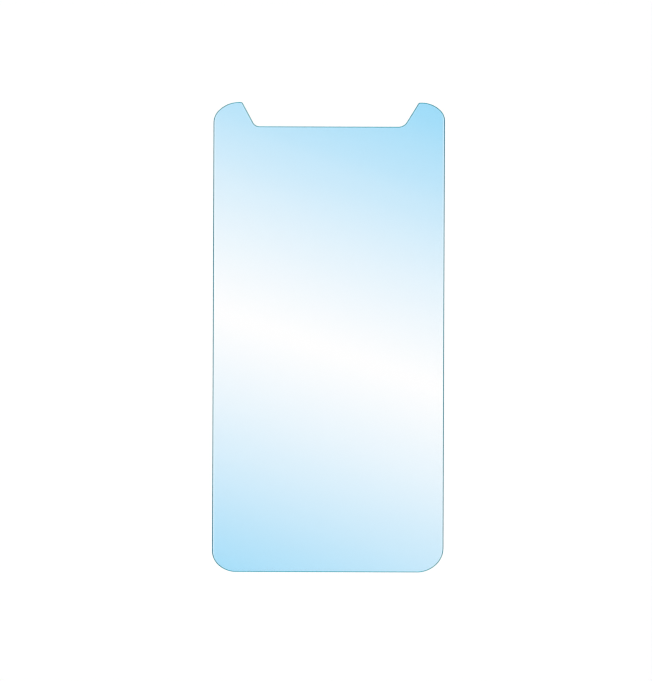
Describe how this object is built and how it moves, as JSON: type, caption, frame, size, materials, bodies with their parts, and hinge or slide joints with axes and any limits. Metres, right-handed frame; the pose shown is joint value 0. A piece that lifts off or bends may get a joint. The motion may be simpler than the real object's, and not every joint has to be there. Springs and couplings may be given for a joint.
{
  "type": "glass screen protector",
  "caption": "Thin flat sheet of clear toughened glass with a rounded ground rim, round corners and a wide notch between tabs at its top end.",
  "frame": {"origin": "middle of the outline's bounding rectangle, on the flat back face that the sheet lies on", "axes": "+X to the right seen from the front, +Y along the sheet towards the notch, +Z out of the front face"},
  "size_m": [0.068, 0.138, 0.0003],
  "materials": {
    "glass": "polished, clear with a pale blue cast, polished ground rim"
  },
  "bodies": {
    "root": {"glass_sheet": "glass"}
  },
  "joints": []
}
